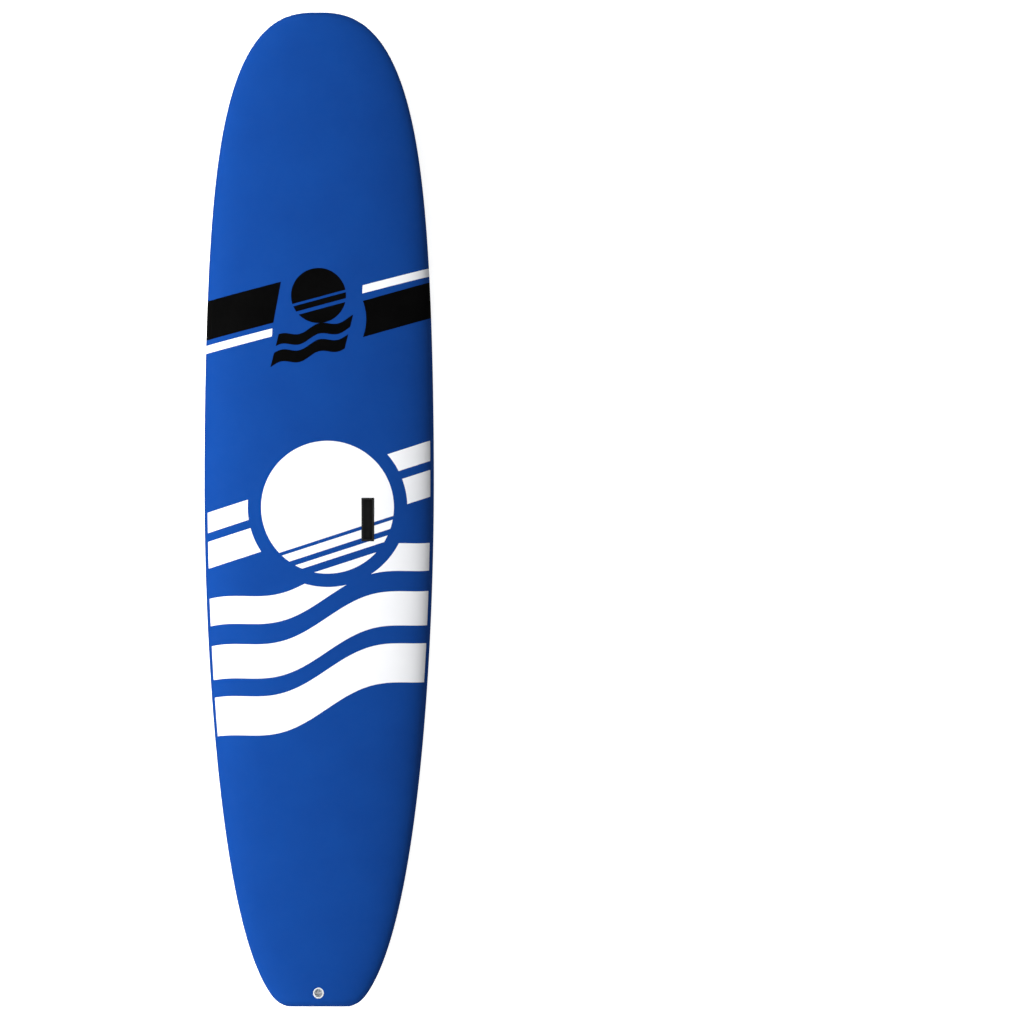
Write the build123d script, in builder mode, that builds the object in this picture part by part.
from build123d import *
import math
import os

# Soft-top longboard with three fin boxes, lying deck up.
# +Y points to the nose, +X to the right-hand rail seen from above, +Z up.
# The origin is under the middle of the board's length, on the surface it rests on.
# A "station" is a distance along the board measured from the tail end.

# Board
length = 2438.4
width = 565.6
thickness = 86.0
widest_station = 1284.0
tail_thickness = 36.0
nose_thickness = 26.0
tail_rocker = 55.0
nose_rocker = 115.0
tail_rise_station = 0.35 * length
nose_rise_station = 0.55 * length
tail_rocker_power = 2.0
nose_rocker_power = 2.4

# Plan outline
nose_early_taper = 0.454
nose_late_power = 5.14
nose_roundness = 2.56
nose_bluntness = 0.3
tail_base_half_width = 91.4
tail_taper_power = 1.9
tail_roundness = 2.87
tail_corner_depth = 16.4
tail_corner_reach = 6.5

# Cross-section
apex_share = 0.45
deck_dome = 0.22
mid_fullness = 6.0
nose_fullness = 2.0
tail_fullness = 4.0
nose_roll = 22.0
tail_roll = 20.0
end_cap = 0.4
stations_each_way = 8
station_grading = 2.4
section_fractions = (0.0, 0.2, 0.4, 0.55, 0.67, 0.77, 0.85, 0.91, 0.95, 0.98, 1.0)
section_samples = 240
seam_overrun = 0.02

# Layers
skin_thickness = 5.0
slick_thickness = 1.2
laminate_thickness = 1.0
stringer_thickness = 5.0
stringer_offset = 60.0

# Carry handle
handle_offset = 121.0
handle_station = 1197.0
handle_length = 107.0
handle_width = 31.3
handle_flange = 2.0
handle_lip = 4.5
handle_wall = 2.2
handle_depth = 34.0
handle_floor = 2.5
handle_corner = 1.5
handle_proud = 0.5

# A fitting's hole runs this many flange thicknesses past the flange, clear of the board's surface
hole_overshoot = 4

# Fin boxes; the side boxes lean, with their rear ends towards the centreline
side_box_offset = 130.6
side_box_station = 285.0
side_box_toe = 1.8
side_box_length = 121.0
side_box_width = 32.0
side_slot_length = 85.0
side_screw_spacing = 49.0
centre_box_station = 122.3
centre_box_length = 98.6
centre_box_width = 27.0
centre_slot_length = 67.0
centre_screw_spacing = 40.0
slot_width = 6.5
slot_depth = 16.0
box_proud = 0.4
box_flange = 3.2
box_lip = 3.0
box_depth = 20.0
box_edge = 0.4
block_margin = 14.0
block_depth = 27.0

# Grub screws that clamp a fin's base
screw_radius = 2.0
screw_length = 6.0
screw_recess = 0.8
screw_offset = 7.5
screw_tilt = 12.0
screw_clearance = 0.1
screw_socket = 2.0
screw_socket_depth = 2.4
screw_bore_depth = 14.0
screw_edge = 0.4

# Leash plug
plug_station = 35.0
plug_flange_radius = 13.5
plug_flange = 1.8
plug_body_radius = 12.0
plug_pocket_radius = 10.0
plug_depth = 20.0
plug_pocket_depth = 15.0
plug_bar_radius = 2.0
plug_bar_drop = 4.5
plug_bar_length = 22.6
plug_edge = 0.5
base_radius = 14.0
base_flange = 3.2
base_spigot_radius = 5.5
bolt_radius = 2.5
bolt_head_radius = 4.5
bolt_head = 2.6
bolt_grip = 3.5
bolt_socket = 3.0
bolt_socket_depth = 1.6

half_length = length / 2
half_width = width / 2


# ---------------------------------------------------------------- board shape


def outline(station):
    """Half the board's width at a station."""
    if station > widest_station:
        u = min((station - widest_station) / (length + nose_bluntness - widest_station), 1.0)
        fill = 1 - nose_early_taper * u**2 - (1 - nose_early_taper) * u**nose_late_power
        return half_width * max(fill, 0.0) ** (1 / nose_roundness)
    v = (widest_station - station) / widest_station
    taper = 1 - (tail_base_half_width / half_width) ** tail_roundness
    base = half_width * (1 - taper * v**tail_taper_power) ** (1 / tail_roundness)
    return base - tail_corner_depth * math.exp(-station / tail_corner_reach)


def inset_outline(station, inset):
    """Station and half width of the plan outline's point after it moves inward by inset."""
    step = 0.05
    slope = (outline(station + step) - outline(station - step)) / (2 * step)
    run = math.hypot(1.0, slope)
    return station + inset * slope / run, outline(station) - inset / run


def rocker(station):
    """Height of the bottom's centreline, before the ends roll up."""
    to_nose = max(0.0, (station - nose_rise_station) / (length - nose_rise_station))
    to_tail = max(0.0, (tail_rise_station - station) / tail_rise_station)
    return nose_rocker * to_nose**nose_rocker_power + tail_rocker * to_tail**tail_rocker_power


def foil(station):
    """Thickness on the centreline, before the ends roll in."""
    end_thickness = nose_thickness if station > half_length else tail_thickness
    away = abs(station - half_length) / half_length
    return thickness - (thickness - end_thickness) * away**2


def end_roll(station, inset):
    """Share of the thickness that is left where the nose and tail are rolled like the rails."""
    share = 1.0
    for gap, roll in ((station, tail_roll), (length - station, nose_roll)):
        inside = (gap - inset) / (roll - inset)
        if inside < 1.0:
            share *= math.sqrt(max(0.0, 1 - (1 - inside) ** 2))
    return share


def fullness(station):
    """Exponent of the rail's curve: 2 is an ellipse, and more is boxier."""
    end = nose_fullness if station > half_length else tail_fullness
    return end + (mid_fullness - end) * (outline(station) / half_width) ** 2


def apex(station):
    """Height of the rail's outermost line, which is also the seam between deck and bottom."""
    return rocker(station) + apex_share * foil(station)


def rise(share, station, inset, top):
    """Height of the deck above the apex, or depth of the bottom below it, at a share of the half width."""
    edge = max(0.0, 1 - abs(share) ** fullness(station)) ** 0.5
    if top:
        full = (1 - apex_share) * foil(station) - inset
        return full * end_roll(station, inset) * (deck_dome * (1 - share**2) + (1 - deck_dome) * edge)
    return (apex_share * foil(station) - inset) * end_roll(station, inset) * edge


def deck_height(across, station):
    return apex(station) + rise(across / outline(station), station, 0.0, True)


def bottom_height(across, station):
    return apex(station) - rise(across / outline(station), station, 0.0, False)


def stations():
    """Stations from tail to nose, closest together at both ends."""
    graded = [half_length * (i / stations_each_way) ** station_grading for i in range(stations_each_way)]
    from_tail = [max(distance, end_cap) for distance in graded]
    from_nose = [length - distance for distance in reversed(from_tail)]
    return from_tail + [half_length] + from_nose


def section_shares(station, reach, inset, top):
    """Shares of the half width where the section is drawn, at set fractions of its length."""
    shares = [1 - (1 - i / section_samples) ** 3 for i in range(section_samples + 1)]
    points = [(share * reach, rise(share, station, inset, top)) for share in shares]
    lengths = [0.0]
    for start, end in zip(points, points[1:]):
        lengths.append(lengths[-1] + math.dist(start, end))
    chosen = []
    for fraction in section_fractions:
        i = next(i for i in range(1, len(lengths)) if lengths[i] >= fraction * lengths[-1])
        blend = (fraction * lengths[-1] - lengths[i - 1]) / (lengths[i] - lengths[i - 1])
        chosen.append(shares[i - 1] + blend * (shares[i] - shares[i - 1]))
    return chosen


def half_board(inset, top, overrun=0.0):
    """One half of the board, above or below the seam, moved inward by inset.

    An overrun, as a share of the half width, carries the sides on past the seam, so that the half can cut
    the other layers cleanly.
    """
    sign = 1 if top else -1
    fractions = list(section_fractions)
    if overrun:
        fractions.append(1 + overrun)
    parameters = [-fraction for fraction in reversed(fractions[1:])] + fractions
    with BuildPart() as half:
        for outer_station in stations():
            station, reach = inset_outline(outer_station, inset)
            seam = apex(station)
            shares = section_shares(station, reach, inset, top)
            right = [(share * reach, seam + sign * rise(share, station, inset, top)) for share in shares]
            if overrun:
                right.append((reach, seam - sign * overrun * reach))
            left = [(-across, height) for across, height in reversed(right[1:])]
            with BuildSketch(Plane.XZ.offset(half_length - station)):
                with BuildLine():
                    add(Edge.make_spline(left + right, parameters=parameters))
                    Line(right[-1], left[0])
                make_face()
        loft()
    return half.part


def tangent_plane(height, across, station, outward):
    """Plane touching the deck or bottom, with local X towards the nose and local Z out of the board."""
    step = 0.5
    along = (height(across, station + step) - height(across, station - step)) / (2 * step)
    sideways = (height(across + step, station) - height(across - step, station)) / (2 * step)
    normal = Vector(-sideways, -along, 1) * outward
    spot = Vector(across, station - half_length, height(across, station))
    return Plane(spot, x_dir=Vector(0, 1, along), z_dir=normal)


# ---------------------------------------------------------------- places of the fittings

handle_place = tangent_plane(deck_height, handle_offset, handle_station, 1)
bottom_left = tangent_plane(bottom_height, -side_box_offset, side_box_station, -1)
bottom_right = tangent_plane(bottom_height, side_box_offset, side_box_station, -1)

# name: (place on the bottom, flange length, flange width, slot length, screw spacing, screws' side)
fin_boxes = {
    "left": (
        bottom_left.rotated((0, 0, side_box_toe)),
        side_box_length,
        side_box_width,
        side_slot_length,
        side_screw_spacing,
        1,
    ),
    "right": (
        bottom_right.rotated((0, 0, -side_box_toe)),
        side_box_length,
        side_box_width,
        side_slot_length,
        side_screw_spacing,
        -1,
    ),
    "centre": (
        tangent_plane(bottom_height, 0.0, centre_box_station, -1),
        centre_box_length,
        centre_box_width,
        centre_slot_length,
        centre_screw_spacing,
        1,
    ),
}

# The leash plug stands on one axis, halfway between square to the deck and square to the bottom.
deck_at_plug = tangent_plane(deck_height, 0.0, plug_station, 1)
bottom_at_plug = tangent_plane(bottom_height, 0.0, plug_station, -1)
plug_axis = deck_at_plug.z_dir - bottom_at_plug.z_dir
plug_place = Plane(deck_at_plug.origin, x_dir=Vector(1, 0, 0), z_dir=plug_axis)
plug_height = deck_at_plug.origin.Z - bottom_at_plug.origin.Z
bolt_bottom = plug_place.offset(-plug_height)


# ---------------------------------------------------------------- fittings


def make_handle_cup():
    """Moulded cup for the fingers: a flat lip on the deck round a deep pocket."""
    with BuildPart() as cup:
        with BuildSketch(handle_place.offset(handle_proud)):
            RectangleRounded(handle_length, handle_width, handle_corner)
        extrude(amount=-handle_flange)
        with BuildSketch(handle_place.offset(handle_proud - handle_flange)):
            RectangleRounded(
                handle_length - 2 * (handle_lip - handle_wall),
                handle_width - 2 * (handle_lip - handle_wall),
                handle_corner + handle_wall,
            )
        extrude(amount=-(handle_depth - handle_flange))
        with BuildSketch(handle_place.offset(handle_proud)):
            RectangleRounded(handle_length - 2 * handle_lip, handle_width - 2 * handle_lip, handle_corner)
        extrude(amount=-(handle_depth - handle_floor), mode=Mode.SUBTRACT)
    return cup


def make_handle_hole():
    """The space that the cup takes out of the layers round it."""
    with BuildPart() as hole:
        with BuildSketch(handle_place.offset(handle_proud - handle_flange)):
            RectangleRounded(handle_length, handle_width, handle_corner)
        extrude(amount=hole_overshoot * handle_flange)
        with BuildSketch(handle_place.offset(handle_proud - handle_flange)):
            RectangleRounded(
                handle_length - 2 * (handle_lip - handle_wall),
                handle_width - 2 * (handle_lip - handle_wall),
                handle_corner + handle_wall,
            )
        extrude(amount=-(handle_depth - handle_flange))
    return hole.part


def screw_planes(place, spacing, side):
    """Planes at the mouths of a box's two screw bores, leaning in towards the slot."""
    face = place.offset(box_proud)
    planes = []
    for along in (-spacing / 2, spacing / 2):
        mouth = face.from_local_coords(Vector(along, side * screw_offset, 0))
        level = Plane(mouth, x_dir=face.x_dir, z_dir=face.z_dir)
        planes.append(level.rotated((-side * screw_tilt, 0, 0)))
    return planes


def make_fin_box(place, flange_length, flange_width, slot_length, spacing, side):
    """Moulded box set in the bottom: flange, body, fin slot and two leaning screw bores."""
    face = place.offset(box_proud)
    with BuildPart() as box:
        with BuildSketch(face):
            SlotOverall(flange_length, flange_width)
        extrude(amount=-box_flange)
        rim = box.faces().sort_by(Axis(face.origin, face.z_dir))[-1]
        chamfer(rim.edges(), box_edge)
        with BuildSketch(face.offset(-box_flange)):
            SlotOverall(flange_length - 2 * box_lip, flange_width - 2 * box_lip)
        extrude(amount=-(box_depth - box_flange))
        with BuildSketch(face):
            SlotOverall(slot_length, slot_width)
        extrude(amount=-slot_depth, mode=Mode.SUBTRACT)
        for mouth in screw_planes(place, spacing, side):
            with BuildSketch(mouth.offset(screw_radius)):
                Circle(screw_radius + screw_clearance)
            extrude(amount=-(screw_bore_depth + screw_radius), mode=Mode.SUBTRACT)
    return box


def make_fin_box_hole(place, flange_length, flange_width):
    """The space that a fin box takes out of the layers round it."""
    face = place.offset(box_proud)
    with BuildPart() as hole:
        with BuildSketch(face.offset(-box_flange)):
            SlotOverall(flange_length, flange_width)
        extrude(amount=hole_overshoot * box_flange)
        with BuildSketch(face.offset(-box_flange)):
            SlotOverall(flange_length - 2 * box_lip, flange_width - 2 * box_lip)
        extrude(amount=-(box_depth - box_flange))
    return hole.part


def make_block_space(place, flange_length, flange_width):
    """The pocket that a fin box's block fills in the core, open at the bottom."""
    with BuildPart() as space:
        with BuildSketch(place.offset(box_depth)):
            RectangleRounded(flange_length + 2 * block_margin, flange_width + 2 * block_margin, block_margin)
        extrude(amount=-(box_depth + block_depth))
    return space.part


def make_fin_block(space, hole, core):
    """Dense foam round a fin box, flush with the core's bottom."""
    with BuildPart() as block:
        add(space)
        add(hole, mode=Mode.SUBTRACT)
        add(core, mode=Mode.INTERSECT)
    return block


def make_grub_screw(mouth):
    """Headless clamping screw with a hex socket in its outer end."""
    outer_end = mouth.offset(-screw_recess)
    with BuildPart() as screw:
        with BuildSketch(outer_end):
            Circle(screw_radius)
        extrude(amount=-screw_length)
        chamfer(screw.edges().filter_by(GeomType.CIRCLE), screw_edge)
        with BuildSketch(outer_end):
            RegularPolygon(screw_socket / 2, 6, major_radius=False)
        extrude(amount=-screw_socket_depth, mode=Mode.SUBTRACT)
    return screw


def make_leash_cup():
    """Cup in the deck that the leash's string loops through."""
    with BuildPart() as cup:
        with BuildSketch(plug_place):
            Circle(plug_flange_radius)
        extrude(amount=-plug_flange)
        rim = cup.faces().sort_by(Axis(plug_place.origin, plug_place.z_dir))[-1]
        chamfer(rim.edges(), plug_edge)
        with BuildSketch(plug_place.offset(-plug_flange)):
            Circle(plug_body_radius)
        extrude(amount=-(plug_depth - plug_flange))
        with BuildSketch(plug_place):
            Circle(plug_pocket_radius)
        extrude(amount=-plug_pocket_depth, mode=Mode.SUBTRACT)
        with BuildSketch(bar_plane):
            Circle(plug_bar_radius)
        extrude(amount=plug_bar_length / 2, both=True, mode=Mode.SUBTRACT)
        with BuildSketch(plug_place.offset(-plug_depth)):
            Circle(bolt_radius)
        extrude(amount=bolt_grip, mode=Mode.SUBTRACT)
    return cup


def make_leash_bar():
    """Round pin across the cup."""
    with BuildPart() as bar:
        with BuildSketch(bar_plane):
            Circle(plug_bar_radius)
        extrude(amount=plug_bar_length / 2, both=True)
    return bar


def make_leash_base():
    """Disc on the bottom with a spigot up to the cup, drawn tight by the bolt."""
    with BuildPart() as base:
        with BuildSketch(bolt_bottom):
            Circle(base_radius)
        extrude(amount=base_flange)
        chamfer(base.edges().sort_by(Axis(bolt_bottom.origin, bolt_bottom.z_dir))[0], plug_edge)
        with BuildSketch(bolt_bottom.offset(base_flange)):
            Circle(base_spigot_radius)
        extrude(amount=plug_height - plug_depth - base_flange)
        with BuildSketch(bolt_bottom):
            Circle(bolt_radius)
        extrude(amount=plug_height - plug_depth, mode=Mode.SUBTRACT)
        with BuildSketch(bolt_bottom):
            Circle(bolt_head_radius)
        extrude(amount=bolt_head, mode=Mode.SUBTRACT)
    return base


def make_leash_bolt():
    """Bolt up through the base into the cup's floor."""
    with BuildPart() as bolt:
        with BuildSketch(bolt_bottom):
            Circle(bolt_head_radius)
        extrude(amount=bolt_head)
        with BuildSketch(bolt_bottom.offset(bolt_head)):
            Circle(bolt_radius)
        extrude(amount=plug_height - plug_depth - bolt_head + bolt_grip)
        with BuildSketch(bolt_bottom):
            RegularPolygon(bolt_socket / 2, 6, major_radius=False)
        extrude(amount=bolt_socket_depth, mode=Mode.SUBTRACT)
    return bolt


def make_plug_hole():
    """The space that the leash plug takes out of the layers round it."""
    with BuildPart() as hole:
        with BuildSketch(plug_place.offset(-plug_flange)):
            Circle(plug_flange_radius)
        extrude(amount=hole_overshoot * plug_flange)
        with BuildSketch(plug_place.offset(-plug_flange)):
            Circle(plug_body_radius)
        extrude(amount=-(plug_depth - plug_flange))
        with BuildSketch(plug_place.offset(-plug_depth)):
            Circle(base_spigot_radius)
        extrude(amount=-(plug_height - plug_depth))
        with BuildSketch(bolt_bottom.offset(base_flange)):
            Circle(base_radius)
        extrude(amount=-hole_overshoot * base_flange)
    return hole.part


def make_layer(whole, *cuts):
    """A layer of the board: a half less the layers inside it and the fittings through it."""
    with BuildPart() as layer:
        add(whole)
        for cut in cuts:
            add(cut, mode=Mode.SUBTRACT)
    return layer


def make_slab(inner, outer, blank, *cuts):
    """The part of the core blank between two upright planes, X from inner to outer."""
    with BuildPart() as slab:
        with BuildSketch(Plane.XY):
            with Locations(((inner + outer) / 2, 0)):
                Rectangle(outer - inner, 2 * length)
        extrude(amount=length, both=True)
        add(blank, mode=Mode.INTERSECT)
        for cut in cuts:
            add(cut, mode=Mode.SUBTRACT)
    return slab


# ---------------------------------------------------------------- assembly

bar_plane = Plane(
    plug_place.offset(-plug_bar_drop).origin, x_dir=plug_place.y_dir, z_dir=plug_place.x_dir
)
handle_hole = make_handle_hole()
plug_hole = make_plug_hole()
box_holes = {
    side: make_fin_box_hole(place, long, wide) for side, (place, long, wide, *rest) in fin_boxes.items()
}
all_holes = [handle_hole, plug_hole, *box_holes.values()]

core_inset_top = skin_thickness + laminate_thickness
core_inset_bottom = slick_thickness + laminate_thickness

pieces = {}
pieces["deck_skin"] = make_layer(
    half_board(0.0, True), half_board(skin_thickness, True, seam_overrun), *all_holes
)
pieces["deck_laminate"] = make_layer(
    half_board(skin_thickness, True), half_board(core_inset_top, True, seam_overrun), *all_holes
)
pieces["bottom_slick"] = make_layer(
    half_board(0.0, False), half_board(slick_thickness, False, seam_overrun), *all_holes
)
pieces["bottom_laminate"] = make_layer(
    half_board(slick_thickness, False), half_board(core_inset_bottom, False, seam_overrun), *all_holes
)

# The blank's bottom is the surface that cuts the laminate's inner face, so the two meet exactly.
with BuildPart() as core_blank:
    add(half_board(core_inset_bottom, False, seam_overrun))
    add(half_board(0.0, False), mode=Mode.INTERSECT)
    add(half_board(core_inset_top, True, seam_overrun))
blank = core_blank.part

block_spaces = {
    side: make_block_space(place, long, wide) for side, (place, long, wide, *rest) in fin_boxes.items()
}
for side, space in block_spaces.items():
    pieces[f"fin_block_{side}"] = make_fin_block(space, box_holes[side], blank)

inner_edge = stringer_offset - stringer_thickness / 2
outer_edge = stringer_offset + stringer_thickness / 2
pieces["core_left"] = make_slab(-width, -outer_edge, blank, block_spaces["left"])
pieces["core_centre"] = make_slab(-inner_edge, inner_edge, blank, plug_hole, block_spaces["centre"])
pieces["core_right"] = make_slab(outer_edge, width, blank, handle_hole, block_spaces["right"])
pieces["stringer_left"] = make_slab(-outer_edge, -inner_edge, blank)
pieces["stringer_right"] = make_slab(inner_edge, outer_edge, blank)

pieces["handle_cup"] = make_handle_cup()
for side, (place, long, wide, slot, spacing, screw_side) in fin_boxes.items():
    pieces[f"fin_box_{side}"] = make_fin_box(place, long, wide, slot, spacing, screw_side)
    mouths = screw_planes(place, spacing, screw_side)
    for end, mouth in zip(("rear", "front"), mouths):
        pieces[f"fin_screw_{side}_{end}"] = make_grub_screw(mouth)

pieces["leash_cup"] = make_leash_cup()
pieces["leash_bar"] = make_leash_bar()
pieces["leash_base"] = make_leash_base()
pieces["leash_bolt"] = make_leash_bolt()

os.makedirs("parts", exist_ok=True)
for name, piece in pieces.items():
    piece.part.label = name
    export_step(piece.part, f"parts/{name}.step")
